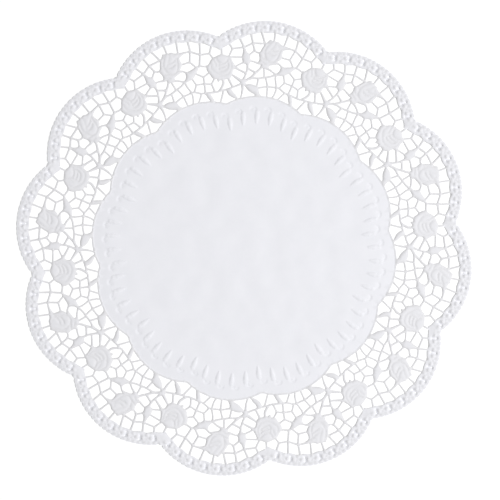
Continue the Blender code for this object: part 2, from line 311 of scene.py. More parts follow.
# %% The open rose, on the clockwise side of the repeat, and its sepal
chart("rose", (
    (33.2, 147.4, 0.5), (35.0, 148.4), (39.8, 148.4), (40.6, 147.4, 0.5), (42.6, 147.1), (44.0, 145.5),
    (45.3, 144.5, 0.5), (46.3, 143.6, 0.5), (46.5, 142.0), (46.3, 140.0), (46.8, 137.6),
    (46.3, 135.2, 0.5), (46.1, 134.5, 0.5), (44.4, 133.7), (43.2, 132.2), (42.0, 130.4, 0.5),
    (41.0, 129.0), (38.4, 128.6, 0.7), (37.2, 128.5), (35.4, 128.8), (34.0, 128.4, 0.7), (32.8, 129.4),
    (31.4, 129.6), (30.4, 128.7), (29.6, 129.5), (30.1, 131.2), (28.4, 132.7, 0.5), (26.7, 133.4),
    (26.3, 136.0), (26.2, 138.3, 0.5), (25.0, 140.2), (25.2, 142.2), (26.4, 143.3, 0.55), (28.6, 144.8),
    (30.6, 147.2),
))
chart("sepal", (
    (33.4, 126.2, 0.8), (32.1, 124.9, 0.8), (30.7, 123.6, 0.75),
))

# %% Five leaves
chart("tall", (
    (-22.6, 152.2), (-22.2, 148.7, 0.5), (-22.4, 147.0), (-20.9, 144.7, 0.5), (-19.0, 143.6),
    (-17.6, 143.2, 0.7), (-16.0, 146.6, 0.5), (-16.6, 149.2), (-17.2, 151.2, 0.5), (-19.0, 152.6),
    (-20.4, 154.4),
))
chart("side", (
    (18.3, 145.9, 0.5), (15.0, 145.9), (11.6, 145.2), (8.2, 142.8), (7.2, 140.6), (5.6, 138.6, 0.7),
    (9.0, 138.2), (11.8, 138.8, 0.5), (14.4, 140.2), (16.0, 141.4, 0.5), (17.4, 142.6), (19.6, 144.8),
))
chart("low", (
    (-16.4, 127.8), (-14.0, 128.8), (-10.8, 128.4), (-8.1, 127.0, 0.5), (-6.2, 124.0), (-4.6, 121.2),
    (-8.4, 120.4), (-9.5, 121.2), (-12.4, 122.2), (-15.0, 123.8), (-16.6, 125.8),
))
chart("tip", (
    (17.2, 122.6), (17.6, 120.0), (18.7, 117.4), (21.7, 115.9), (21.4, 119.0), (20.7, 122.0),
))
chart("end", (
    (-29.8, 118.4), (-28.0, 117.0), (-24.4, 115.8), (-22.9, 115.6), (-21.7, 116.3), (-23.4, 118.6),
    (-26.6, 120.9), (-28.6, 121.9),
))

# %% [markdown]
# ## The gaps
# Each gap is named by the ring of knots round it. Two dots count through an outline, up or down, and a
# word with a ~ follows the border's or the plain centre's scalloped edge up to the next knot. Listing
# the holes instead of the bars suits a die: the die cuts holes, and the bars are what it leaves.

# %% Rings of knots
GAPS = (
    "rim_01 ~border rim_02 net_01 rose_07..04-",
    "rim_02 ~border rim_03 net_02 net_01",
    "rim_03 ~border rim_04 net_03 net_02",
    "rim_04 ~border rim_05 net_04 net_03",
    "rim_05 ~border rim_06 bud_01 bud_29..26 net_04",
    "rim_06 ~border rim_07 bud_06..01",
    "rim_07 ~border rim_08 net_05 arm_03 arm_02 bud_06",
    "rim_08 ~border rim_09 net_07 net_05",
    "rim_09 ~border rim_10 net_08 net_07",
    "rim_10 ~border rim_01+ rose_04..01 net_08",
    "net_01 net_02 tall_01 tall_02 rose_08- rose_07-",
    "net_02 net_03 net_17 tall_09..11",
    "net_03 net_04 bud_25..22 net_18 net_17",
    "net_17 net_18 bud_22..18 net_14 tall_07..09",
    "tall_07 net_14 bud_18 bud_17 stalk_06..04 stem_03 tall_06",
    "stem_03 stalk_04..01 vine_11 stem_01 stem_02",
    "rose_08- tall_02..04 rose_12..09-",
    "rose_12- tall_04..06 stem_03 stem_02",
    "rose_13- stem_02 stem_01 vine_11 rose_16..14-",
    "rose_16- vine_11..08 rose_18- rose_17-",
    "rose_18- vine_08..04 sepal_03..01- rose_21..19-",
    "rose_27..21 sepal_01..03 vine_04+ vine_03 vine_02 net_13",
    "net_05 net_06 bud_09..07 arm_01..03",
    "net_05 net_07 net_09 side_01 net_06",
    "net_07 net_08 rose_01 rose_35..33 net_09",
    "net_09 rose_33..30 net_10 side_10..12",
    "net_06 side_01..03 curl_04..02 bud_12..09",
    "bud_14 bud_13 curl_01..04 side_04..06 curl_05 net_15 bud_15",
    "bud_15 net_15 curl_05 twig_06..03 bud_16",
    "stalk_06 bud_16 twig_03..01 stalk_02..05",
    "vine_11 stalk_01 stalk_02 twig_01 twig_02 low_04..01",
    "twig_02..04 net_20 chain_03..01 low_04",
    "twig_04..06 side_06 net_22 net_21 chain_05..03 net_20",
    "side_06..08 net_11 chain_06 chain_05 net_21 net_22",
    "side_08..10 net_10 net_12 net_19 net_11",
    "net_11 net_19 net_12 chain_09..06",
    "net_10 rose_30..27 net_13 net_12",
    "net_12 net_13 vine_02 vine_01 chain_09",
    "vine_10..07 end_07..05 ~centre centre_02 net_16 vine_11",
    "vine_11 low_11..07 ~centre centre_02 net_16",
    "chain_01..03 centre_03 ~centre low_06 low_05",
    "chain_03..05 net_23 centre_04 ~centre centre_03",
    "chain_05..08 centre_05 ~centre centre_04 net_23",
    "chain_08 chain_09 tip_01..03 ~centre centre_05",
    "vine_01..03 vine_04+ vine_05+ centre_01+ ~centre tip_04..06",
    "vine_05 vine_06 end_01..04 ~centre centre_01",
)
print(f"{len(GAPS)} gaps in a repeat, {len(GAPS) * REPEATS} in the doily")

# %% [markdown]
# ## From words to rings
# Two of the scalloped lines bound the net. The border's inner line has a shallow scoop under each of its
# flowers, and it reaches in a little further toward the valleys. The words of a ring are looked up one
# by one, and where a ring follows one of those lines it gets closely spaced points.

# %% Inner line of the border
FLOWER_PITCH = 11.9      # lobe angle, about the middle of the arc, from one border flower to the next
FIRST_FLOWER = 0.65      # lobe angle of the flower nearest the peak
SCOOP = 0.45             # half the depth of the scoop under each flower of the border, mm
WIDER_AT = (-44.0, -30.0, -18.0, 18.0, 44.0)    # lobe angles,
WIDER_BY = (1.1, 0.9, 0.0, 0.0, 0.45)           # and how far past its plain arc the border reaches in, mm


def border_radius(angle):
    """Inner edge of the border, with a shallow scoop under each flower; for one angle or many."""
    radius = lobe_radius(BORDER, angle)
    lobe_angle, _ = lobe_frame(EDGE, np.atleast_2d(polar(radius, angle).T))
    scoop = SCOOP * (1 + np.cos(2 * pi * (lobe_angle - FIRST_FLOWER) / FLOWER_PITCH))
    found = radius + scoop - np.interp(lobe_angle, WIDER_AT, WIDER_BY)
    return found if np.ndim(angle) else found[0]


print(f"at a peak the border runs from {lobe_radius(EDGE, 0.0):.1f} in to {border_radius(0.0):.1f} mm")

# %% Rings of knots, looked up
EDGE_STEP = 0.5          # degrees between points along a scalloped edge
CLEAR = 1.0              # mm from a knot in which the edge gets no point of its own


def expanded(word):
    """The names in one word of a ring: bud_06..02 counts through an outline."""
    if ".." not in word:
        return [word]
    first, last = word.split("..")
    stem, start = first.split("_")
    copy = last.strip("0123456789")      # a plus or minus sign, or nothing
    start, stop = int(start), int(last.rstrip("+-"))
    step = 1 if stop > start else -1
    return [f"{stem}_{number:02d}{copy}" for number in range(start, stop + step, step)]


def edge_points(word, before, after):
    """Points along a scalloped edge between two knots of a ring."""
    radius_at = {"~border": border_radius, "~centre": lambda angle: lobe_radius(HUB, angle)}[word]
    start, stop = angles_of(np.array([before[:2], after[:2]]))
    count = max(2, round(abs(stop - start) / EDGE_STEP))
    points = []
    for i in range(1, count):
        angle = start + (stop - start) * i / count
        point = polar(radius_at(angle), angle)
        if min(hypot(*(point - before[:2])), hypot(*(point - after[:2]))) > CLEAR:
            points.append(Knot(*point, 0.0))
    return points


def ring_of(row):
    """All knots round a gap, in order."""
    words = [name for word in row.split() for name in expanded(word)]
    ring = []
    for i, word in enumerate(words):
        if word[0] == "~":
            ring += edge_points(word, knot(words[i - 1]), knot(words[(i + 1) % len(words)]))
        else:
            ring.append(knot(word))
    return ring


rings = [ring_of(row) for row in GAPS]
print(f"a ring has {min(map(len, rings))} to {max(map(len, rings))} points")

# %% [markdown]
# ## From a ring to a hole
# The middle lines between the knots would give gaps with no bars left, so each side is moved inward by
# the half-width at its two ends, and the corners are where neighbouring sides cross.

# %% Corners of the holes
NEARLY_STRAIGHT = 0.09   # sine of the bend below which two sides have no useful crossing


def doubled_area(points):
    """Twice the signed area inside a loop: positive when it runs anticlockwise."""
    x, y = np.asarray(points)[:, 0], np.asarray(points)[:, 1]
    return float(x @ np.roll(y, -1) - y @ np.roll(x, -1))


def drawn_in(ring):
    """Corners of the hole: the ring's sides moved inward by the half-widths."""
    places = np.array([[k.across, k.outward] for k in ring])
    halves = np.array([k.half for k in ring])
    winding = 1.0 if doubled_area(places) > 0 else -1.0
    ends = np.roll(places, -1, axis=0)
    run = ends - places
    inward = np.column_stack([-run[:, 1], run[:, 0]]) * winding / np.hypot(*run.T)[:, None]
    starts = places + inward * halves[:, None]
    stops = ends + inward * np.roll(halves, -1)[:, None]
    corners = []
    for i in range(len(ring)):
        a, b, c, d = starts[i - 1], stops[i - 1], starts[i], stops[i]
        along, across = b - a, d - c
        spread = along[0] * across[1] - along[1] * across[0]
        if abs(spread) < NEARLY_STRAIGHT * hypot(*along) * hypot(*across):
            corners.append((b + c) / 2)
        else:
            corners.append(a + along * (((c - a)[0] * across[1] - (c - a)[1] * across[0]) / spread))
    return corners[::int(winding)]


holes = [drawn_in(ring) for ring in rings]
print(f"one repeat: {sum(map(len, holes))} corners round its {len(holes)} gaps")

# %% [markdown]
# ## Rounded corners
# A die has no sharp inner corners, so every corner is rounded with a short quadratic curve. A gentle
# bend needs one point, a tight corner four. That keeps the triangle count low where nothing would show.

# %% Outlines of the gaps
CORNER = 0.75            # radius of a rounded corner, mm
TIGHT_BEND = 50.0        # degrees from which a corner keeps that radius; a gentler one is wider
LEAST_CUT = 0.6          # least length that the rounding takes from a side, mm
MOST_CUT = 0.45          # and the largest share of a side
ROUNDING = (             # up to which bend, in degrees, and where on the curve the points lie
    (18.0, (0.5,)), (55.0, (0.0, 1.0)), (95.0, (0.0, 0.5, 1.0)), (181.0, (0.0, 0.33, 0.67, 1.0)),
)


def rounded(corners):
    """The same loop with every corner turned into a short curve."""
    loop = []
    for i, corner in enumerate(corners):
        back, ahead = corners[i - 1] - corner, corners[(i + 1) % len(corners)] - corner
        length_back, length_ahead = hypot(*back), hypot(*ahead)
        back, ahead = back / length_back, ahead / length_ahead
        half_angle = acos(max(-1.0, min(1.0, float(back @ ahead)))) / 2
        bend = 180.0 - 2 * degrees(half_angle)
        cut = MOST_CUT * min(length_back, length_ahead)
        if bend > TIGHT_BEND:
            cut = min(cut, max(LEAST_CUT, CORNER / tan(half_angle)))
        shares = [share for most, share in ROUNDING if bend < most][0]
        loop += [corner + back * cut * (1 - t) ** 2 + ahead * cut * t ** 2 for t in shares]
    return np.array(loop)


gap_loops = [rounded(corners) for corners in holes]
open_area = sum(doubled_area(loop) for loop in gap_loops) / 2
print(f"one repeat: {sum(map(len, gap_loops))} points round its gaps, {open_area:.0f} mm2 open")

# %% [markdown]
# ## The border
# The border is a chain of five-petalled flowers. Where the side petals of two flowers meet, the die
# cuts an hourglass of two three-cornered eyelets, and outside each flower it leaves small picots: two
# petal tips, then a wider bridge to the next flower. The chain follows the scallop's own arc, so its
# parts are placed by the angle about the arc's middle. In the valley between two scallops one flower
# sits the other way up.

# %% Eyelets and flower places
EYELETS_AT = (-40.7, -29.0, -17.1, -5.2, 6.5, 18.5, 30.5, 41.8)    # lobe angles, degrees
Eyelet = namedtuple("Eyelet", "base point half")    # how far in its base and point are, half its width, mm
EYELET_PAIR = (Eyelet(3.0, 4.5, 0.6), Eyelet(7.4, 5.9, 0.6))
Place = namedtuple("Place", "middle facing")        # of an ornament: a chart point, and degrees
FLOWER_IN = 4.4                                     # from the edge to a flower's heart, mm
VALLEY, VALLEY_OUT = -14.75, 163.5                  # the flower there: degrees from the peak, and mm out
VALLEY_FLOWER = Place(polar(VALLEY_OUT, VALLEY), VALLEY + 180.0)

flower_angles = [(a + b) / 2 for a, b in zip(EYELETS_AT, EYELETS_AT[1:])]
flowers = [Place(on_lobe(EDGE, angle, FLOWER_IN), angle) for angle in flower_angles] + [VALLEY_FLOWER]


def eyelet_loop(angle, eyelet):
    """A small three-cornered hole with its base along the border and its point across it."""
    top = on_lobe(EDGE, angle, eyelet.base)
    aside = polar(eyelet.half, angle + 90.0)
    corners = [top + aside, top - aside, on_lobe(EDGE, angle, eyelet.point)]
    return rounded(corners if doubled_area(corners) > 0 else corners[::-1])


eyelet_loops = [eyelet_loop(angle, eyelet) for angle in EYELETS_AT for eyelet in EYELET_PAIR]
print(f"{len(flowers)} flowers and {len(eyelet_loops)} eyelets in a repeat")

# %% The outer edge with its picots
PICOT_DEPTH = 0.9        # how far the notches between picots go in, mm
TIP_WIDTH = 3.6          # degrees of lobe angle that a petal tip takes
VALLEY_NOTCH = 43.6      # lobe angle of the last notch before the valley
VALLEY_TIP = 0.5         # how far the petal in the valley stands out, mm
PICOT_STEPS = (0.0, 0.1, 0.3, 0.7, 0.9)    # shares of a picot's width at which its outline has points
PICOT_BLUNT = 0.5        # the lower this power, the rounder a picot's end

notches = [-VALLEY_NOTCH]
for angle in flower_angles:
    notches += [angle - TIP_WIDTH, angle, angle + TIP_WIDTH]
notches.append(VALLEY_NOTCH)
arc_end = degrees(atan2(*(polar(lobe_radius(EDGE, TURN / 2), TURN / 2) - (0.0, EDGE.middle))))

edge_loop = [on_lobe(EDGE, -arc_end, -VALLEY_TIP)]
for start, stop in zip(notches, notches[1:]):
    for t in PICOT_STEPS:
        depth = PICOT_DEPTH * (1 - sin(pi * t) ** PICOT_BLUNT)
        edge_loop.append(on_lobe(EDGE, start + (stop - start) * t, depth))
edge_loop.append(on_lobe(EDGE, VALLEY_NOTCH, PICOT_DEPTH))
edge_loop = np.array(edge_loop)
print(f"outer edge: {len(notches) - 1} picots and a valley tip, {len(edge_loop)} points in a repeat")

# %% [markdown]
# ## Emboss: lines that sink
# The open rose and the bud are pillows of paper, and their petals are drawn by sunken lines. Each line
# is a row of given points. The height of the paper is then worked out from two distances, to
# the nearest cut edge and to the nearest sunken line, so a petal swells by itself between its lines.

# %% Sunken lines of the flowers
Line = namedtuple("Line", "strength points")
ROSE_LINES = (
    Line(0.8, ((31.5, 146.8), (29.9, 144.2), (28.8, 142.0), (28.4, 140.0), (29.2, 138.4), (30.5, 136.7),
               (31.8, 134.9), (33.5, 133.2), (36.2, 132.1), (39.4, 132.1), (41.4, 133.2), (43.2, 135.2),
               (44.4, 138.0), (44.7, 141.0), (45.0, 143.5))),
    Line(0.8, ((32.9, 146.4), (32.6, 144.4), (33.2, 142.4), (32.6, 140.8))),
    Line(1.2, ((34.9, 146.4), (35.3, 144.2), (36.0, 142.4), (37.4, 141.3), (39.5, 141.0), (42.0, 141.6),
               (44.2, 143.2))),
    Line(0.8, ((35.4, 141.8), (34.7, 140.4), (34.2, 139.0), (33.6, 137.4))),
    Line(1.3, ((35.2, 139.2), (36.6, 138.6), (39.0, 138.4), (41.2, 138.7), (42.8, 139.9))),
    Line(1.2, ((33.4, 137.0), (34.8, 136.1), (36.8, 135.8), (39.2, 135.9), (41.0, 136.8), (42.3, 138.4))),
)
BUD_LINES = (
    Line(1.1, ((-1.7, 163.8), (-3.2, 161.7), (-4.7, 159.6), (-5.6, 157.5), (-6.0, 155.5), (-5.6, 153.0),
               (-5.1, 150.8), (-3.6, 149.0), (-1.5, 147.9), (0.6, 147.7), (2.2, 148.3), (3.4, 149.6),
               (4.5, 151.4), (5.2, 153.6), (5.7, 156.0), (6.7, 157.9), (8.4, 159.8))),
    Line(0.6, ((1.8, 163.0), (0.6, 160.3), (-1.4, 157.6), (-2.8, 156.0), (-3.8, 154.4))),
    Line(1.1, ((-1.6, 157.6), (-0.6, 156.8), (1.2, 156.4), (2.8, 156.8), (4.6, 157.6), (6.2, 159.0))),
    Line(1.3, ((-2.2, 153.6), (0.0, 153.4), (2.0, 153.8), (3.6, 154.8))),
    Line(0.5, ((4.0, 161.4), (4.6, 159.8))),
    Line(0.7, ((-7.4, 157.0), (-7.4, 155.0), (-6.6, 153.4))),
    Line(1.1, ((-8.2, 150.2), (-6.2, 149.5), (-4.2, 149.0))),
    Line(0.9, ((-7.2, 147.2), (-5.6, 146.2), (-3.6, 145.4))),
)
print(f"{len(ROSE_LINES)} lines in the rose and {len(BUD_LINES)} in the bud")

# %% [markdown]
# ## Emboss: petals that rise
# Each petal of a border flower rises as a small dome, and its heart as a lower one. A dome is a
# stretched circle: full height in its middle, and falling ever more steeply to its rim.

# %% Petals of the border flowers
DOME_BLUNT = 0.6         # the lower this power, the flatter a dome's top
Petal = namedtuple("Petal", "aside inner outer half rise")    # degrees off the flower's axis, then mm
PETALS = (
    Petal(107.0, 1.5, 5.8, 1.3, 0.95), Petal(-107.0, 1.5, 5.8, 1.3, 0.95),
    Petal(180.0, 2.0, 5.2, 1.1, 1.0), Petal(0.0, -0.9, 0.9, 0.9, 0.5),
)


def seen_from(place, points):
    """Points as an ornament has them: how far aside and how far outward along its own axis, mm."""
    return turned(points - place.middle, -place.facing).T


def copies(places):
    """Places of the repeat together with those of its two neighbours."""
    return [Place(turned(p.middle, turn), p.facing + turn) for turn in NEARBY for p in places]


def flower_height(points):
    """Height of the border's petals, mm."""
    height = np.zeros(len(points))
    for place in copies(flowers):
        for petal in PETALS:
            facing = place.facing + petal.aside
            middle = place.middle + polar((petal.inner + petal.outer) / 2, facing)
            aside, outward = seen_from(Place(middle, facing), points)
            reach = (aside / petal.half) ** 2 + (outward / ((petal.outer - petal.inner) / 2)) ** 2
            height = np.maximum(height, petal.rise * np.clip(1.0 - reach, 0.0, None) ** DOME_BLUNT)
    return height


print(f"{len(PETALS)} domes in each of {len(flowers)} flowers")

# %% [markdown]
# ## Emboss: drops and crescents
# Just inside the edge of the plain centre stand five drops in each repeat. Each is a long leaf shape
# with its point toward the centre, and a curved dip cuts a small cap off its outer end. Between their
# outer ends lie crescents, which are curved grooves. A groove needs paper to sink into, so the plain
# centre swells slowly to a low ring there and falls again toward the middle.

# %% Drops
DROPS = 5
FIRST_DROP = -14.6            # degrees from the scallop's peak
DROP_IN = 16.3                # from the centre's edge to a drop's middle, mm
DROP_TOP, DROP_WIDEST, DROP_POINT = 5.3, 1.5, -7.2    # along a drop, outward from its middle, mm
DROP_HALF, DROP_RISE = 2.2, 0.62         # its greatest half-width and its height, mm
DROP_FLAT = 0.4               # share of a drop's width that is its flat top
DIP_AT, DIP_BEND, DIP_WIDTH, DIP_SHARE = 2.3, 0.15, 0.75, 0.6    # place, bend and width, share of height
HAIR = 0.05                   # mm, stands in for no width where one is divided by


def inside_hub(angle, inward):
    """Place of an ornament some way inside the edge of the plain centre, facing outward."""
    return Place(polar(lobe_radius(HUB, angle) - inward, angle), angle)


def bell(distance, width):
    """1 at no distance, fading to 0 over about twice the width."""
    return np.exp(-(distance / width) ** 2)


def drop_half(outward):
    """Half-width of a drop along its length, mm: round outside and pointed inside."""
    round_end = np.sqrt(np.clip(1 - ((outward - DROP_WIDEST) / (DROP_TOP - DROP_WIDEST)) ** 2, 0, 1))
    pointed_end = np.cos(pi / 2 * np.clip((outward - DROP_WIDEST) / (DROP_POINT - DROP_WIDEST), 0, 1))
    return DROP_HALF * np.where(outward > DROP_WIDEST, round_end, pointed_end)


def drop_height(points):
    """Height of the drops, with their dips, mm."""
    height = np.zeros(len(points))
    for place in copies(drops):
        aside, outward = seen_from(place, points)
        half = drop_half(outward)
        flank = np.clip((1 - np.abs(aside) / np.maximum(half, HAIR)) / (1 - DROP_FLAT), 0, 1)
        body = flank ** 2 * (3 - 2 * flank) * np.sqrt(half / DROP_HALF)
        dip = 1 - DIP_SHARE * bell(outward - DIP_AT + DIP_BEND * aside ** 2, DIP_WIDTH)
        height = np.maximum(height, DROP_RISE * body * dip)
    return height


drop_angles = [FIRST_DROP + TURN / DROPS * i for i in range(DROPS)]
drops = [inside_hub(angle, DROP_IN) for angle in drop_angles]
print(f"{len(drops)} drops in a repeat, each {DROP_TOP - DROP_POINT:.1f} mm long")

# %% Crescents, and the ring that they sink into
CRESCENT_AHEAD = 4.2          # degrees from a drop to its crescent
CRESCENT_IN = 11.0            # from the centre's edge to the middle of a crescent's arc, mm
GROOVE_AT, GROOVE = (0.6, 1.5, 2.3, 3.2), (0.2, 1.0, 1.0, 0.0)    # mm from there, and share of the depth
GROOVE_FROM, GROOVE_FADE = -0.6, 1.4     # mm outward from the arc's middle where its ends fade in
PLAIN_AT, PLAIN = (1.2, 7.0, 14.0, 34.0), (0.0, 0.4, 0.4, 0.0)    # mm inside the edge, and the ring's height


def plain_height(points, inward):
    """Height of the ring that the crescents sink into, mm; they are open toward the middle."""
    level = np.interp(inward, PLAIN_AT, PLAIN)
    height = level
    for place in copies(crescents):
        aside, outward = seen_from(place, points)
        groove = np.interp(np.hypot(aside, outward), GROOVE_AT, GROOVE)
        groove = groove * np.clip((outward - GROOVE_FROM) / GROOVE_FADE, 0, 1)
        height = np.minimum(height, level * (1 - groove))
    return height


crescents = [inside_hub(angle + CRESCENT_AHEAD, CRESCENT_IN) for angle in drop_angles]
print(f"{len(crescents)} crescents in a repeat")

# %% [markdown]
# ## How high the paper stands
# In the net every cut edge lies on the table, and the paper swells away from it. A narrow bar never
# gets far from an edge, so it becomes a low round ridge, while a leaf or flower reaches full height.
# The first thing to know about a point is therefore how far it lies from the nearest cut edge. In the
# border the edges themselves are lifted, at its outer rim and on its side toward the net.

# %% Distances to the cut edges
def sides_of(loops):
    """Starts and ends of all straight sides of closed loops, with the neighbouring repeats' sides."""
    starts = [turned(loop, turn) for turn in NEARBY for loop in loops]
    ends = [np.roll(loop, -1, axis=0) for loop in starts]
    return np.concatenate(starts), np.concatenate(ends)


def distance_to(points, starts, ends):
    """Distance from each point to the nearest of many straight sides, mm."""
    nearest = np.full(len(points), np.inf)
    for start, step in zip(starts, ends - starts):
        along = np.clip((points - start) @ step / (step @ step), 0.0, 1.0)
        nearest = np.minimum(nearest, np.hypot(*(points - start - along[:, None] * step).T))
    return nearest


hole_sides = sides_of(gap_loops + eyelet_loops)
rim = np.concatenate([turned(edge_loop, turn) for turn in NEARBY])
rim_sides = (rim[:-1], rim[1:])
print(f"{len(hole_sides[0])} sides of gaps and eyelets, {len(rim_sides[0])} sides of the outer edge")

# %% Sunken lines, and how high a cut edge stands
SUNK_WIDTH = 0.55                                # about half the width of a sunken line, mm
CUT_AT = (0.7, 2.5, 8.2, 9.2, 11.0, 13.0)        # mm in from the outer edge,
CUT = (1.0, 0.0, 0.0, 0.55, 0.55, 0.0)           # and how high a cut edge stands there, mm


def sunk(points):
    """How strongly the sunken lines of the rose and bud act at each point, 0 to about 1."""
    share = np.zeros(len(points))
    for line in ROSE_LINES + BUD_LINES:
        for turn in NEARBY:
            route = turned(line.points, turn)
            near = bell(distance_to(points, route[:-1], route[1:]), SUNK_WIDTH)
            share = np.maximum(share, line.strength * near)
    return share


def cut_height(points):
    """Height of a cut edge, mm: none, but for the outer rim and the border's side toward the net."""
    return np.interp(lobe_frame(EDGE, points)[1], CUT_AT, CUT)


print(f"the outer rim is lifted by up to {cut_height(edge_loop).max():.2f} mm")

# %% [markdown]
# ## How high the border stands
# The border is high all over, with a hollow round each pair of eyelets, a small hump behind it and a
# small dome in each picot. Short tables give its level and the hollow's width for a few distances from
# the outer edge, and the values between them are interpolated.

# %% Height of the border
BORDER_TALL = 1.06                       # scale of all heights in the border
LEVEL_AT = (0.0, 2.3, 6.5, 9.0)                  # mm in from the outer edge,
LEVEL = (0.72, 0.95, 0.9, 0.6)                   # and the border's height there under its petals, mm
HOLLOW_AT = (2.3, 3.2, 5.2, 7.0, 8.4)            # mm in from the outer edge,
HOLLOW_HALF = (1.3, 1.6, 1.1, 1.35, 1.2)         # and half the width of an eyelet pair's hollow there, mm
HOLLOW_ENDS = (0.6, 1.0)                 # mm over which its outer and inner ends slope
HOLLOW_STEEP = 4                         # the higher this power, the steeper its flanks
PICOT_IN, PICOT_LENGTH = 1.9, 0.8        # where the dome in each picot is, and its half-length, mm
PICOT_SHARE = 0.24                       # its half-width as a share of the picot's width
TIP_RISE, BRIDGE_RISE = 1.1, 0.9         # its height in a petal tip and in a bridge, mm
HUMP_IN, HUMP_WIDTH, HUMP_LENGTH, HUMP_RISE = 9.0, 3.0, 0.8, 0.45    # the hump inside each eyelet pair


def beside(lobe_angle, inward, angles):
    """Distance along the arc to the nearest of several lobe angles, mm."""
    turn = np.min([np.abs(lobe_angle - angle) for angle in angles], axis=0)
    return np.radians(turn) * (EDGE.radius - inward)


def border_height(points):
    """Height of the border: its flowers, with hollows between them, and the domes of the picots, mm."""
    lobe_angle, inward = lobe_frame(EDGE, points)
    aside = beside(lobe_angle, inward, EYELETS_AT)
    outer_end = np.clip((inward - HOLLOW_AT[0]) / HOLLOW_ENDS[0], 0, 1)
    inner_end = np.clip((HOLLOW_AT[-1] - inward) / HOLLOW_ENDS[1], 0, 1)
    across = np.exp(-(aside / np.interp(inward, HOLLOW_AT, HOLLOW_HALF)) ** HOLLOW_STEEP)
    raised = np.interp(inward, LEVEL_AT, LEVEL) + flower_height(points)
    height = (1 - outer_end * inner_end * across) * raised
    height += HUMP_RISE * bell(aside, HUMP_WIDTH) * bell(inward - HUMP_IN, HUMP_LENGTH)
    for start, stop in zip(notches, notches[1:]):
        off = np.radians(lobe_angle - (start + stop) / 2) * EDGE.radius
        width = PICOT_SHARE * radians(stop - start) * EDGE.radius
        rise = TIP_RISE if isclose(stop - start, TIP_WIDTH) else BRIDGE_RISE
        height += rise * bell(off, width) * bell(inward - PICOT_IN, PICOT_LENGTH)
    return height * BORDER_TALL


hearts = border_height(np.array([flower.middle for flower in flowers]))
print(f"the flowers' hearts stand {hearts.min():.2f} to {hearts.max():.2f} mm high")

# %% [markdown]
# ## Height and painted shade
# Every point is in the net, in the border or in the plain centre, and takes the height that belongs
# there. The plain centre has one raised line along its edge. The same sums give each point a share of
# painted shade: the colour greys at cut edges, in sunken lines, on that line and where the border is high.

# %% Relief of the sheet
LACE_RISE, LACE_SOFT = 0.8, 0.36         # full height in the net, and how soon it is reached, mm
BORDER_SOFT = 0.42                       # the same in the border
LINE_RISE, LINE_IN, LINE_WIDTH = 0.55, 0.7, 0.65    # the raised line round the plain centre
LINE_CREST = 0.6                         # share of its width that its crest takes
SUNK_DEPTH = 0.6                         # share of the height that a sunken line takes
LEAF_SHADE, SHADE_WIDTH = 0.38, 0.9      # share of painted shade in a leaf's middle, and mm from its cut edge to there
SUNK_SHADE = 0.5                         # more painted shade along a sunken line
BORDER_SHADE = 0.30                      # share of painted shade for each mm that the border stands up


def formed(points):
    """Height of the embossed paper, mm, and its share of painted shade, 0 to about 1."""
    edge = distance_to(points, *hole_sides)
    radius, angles = np.hypot(*points.T), angles_of(points)
    inward = lobe_radius(HUB, angles) - radius
    line = bell(inward - LINE_IN, LINE_WIDTH * LINE_CREST)
    creased = sunk(points)
    cut = cut_height(points)
    lace = cut + (1 - np.exp(-edge / LACE_SOFT)) * (LACE_RISE * (1 - SUNK_DEPTH * creased) - cut)
    border = cut + (1 - np.exp(-edge / BORDER_SOFT)) * (border_height(points) - cut)
    centre = LINE_RISE * line + drop_height(points) + plain_height(points, inward)
    # painted shade in the lace: a base share, full at cut edges and strong along sunken lines
    lace_shade = LEAF_SHADE + (1 - LEAF_SHADE) * np.maximum(bell(edge, SHADE_WIDTH), SUNK_SHADE * creased)
    in_lace = radius < border_radius(angles)
    height = np.where(inward > 0, centre, np.where(in_lace, lace, border))
    # painted shade: on the raised line round the centre, in the lace, and on the border by its height
    shade_share = np.where(inward > 0, line, np.where(in_lace, lace_shade, BORDER_SHADE * border))
    return height, shade_share


line_height, line_shade = formed(np.array(BUD_LINES[0].points))
print(f"the bud's longest line lies {line_height.mean():.2f} mm up, pressed {line_shade.mean():.2f}")

# %% [markdown]
# ## Where the triangles go
# Detail needs points, and plain paper needs hardly any. The first helping is a row beside every cut
# edge: each of its points slides inward to where it is farthest from all edges, so on a bar it finds
# the crest. The next ones are rows that follow the border's eyelets and picots, the line round the
# plain centre, the sunken lines, the drops and the crescents.

# %% Rows beside the cut edges
CREST_STEP = 1.15                        # mm between points beside a cut edge
CREST_TRIES = (0.45, 0.55, 0.65, 0.75)   # mm in from the edge


def evenly(route, step):
    """Points at even steps along a route, and the direction to its right-hand side at each."""
    runs = np.diff(route, axis=0)
    travelled = np.concatenate([[0.0], np.cumsum(np.hypot(*runs.T))])
    count = max(2, round(travelled[-1] / step))
    at = (np.arange(count) + 0.5) * travelled[-1] / count
    piece = runs[np.searchsorted(travelled, at) - 1]
    right = np.column_stack([piece[:, 1], -piece[:, 0]]) / np.hypot(*piece.T)[:, None]
    points = np.column_stack([np.interp(at, travelled, route[:, axis]) for axis in (0, 1)])
    return points, right


def crest_points(loops, sides):
    """Points on the paper side of cut loops, slid to where they are farthest from every edge."""
    rows = [evenly(np.vstack([loop, loop[:1]]), CREST_STEP) for loop in loops]
    points, right = (np.concatenate(part) for part in zip(*rows))
    tries = np.array([points + right * reach for reach in CREST_TRIES])
    clear = np.array([distance_to(places, *sides) for places in tries])
    return tries[np.argmax(clear, axis=0), np.arange(len(points))]


crest_row = crest_points(gap_loops + eyelet_loops, hole_sides)
rim_row, rim_right = evenly(edge_loop, CREST_STEP)
rim_row += rim_right * CREST_TRIES[1]
print(f"{len(crest_row)} points beside gaps and eyelets, {len(rim_row)} beside the outer edge")

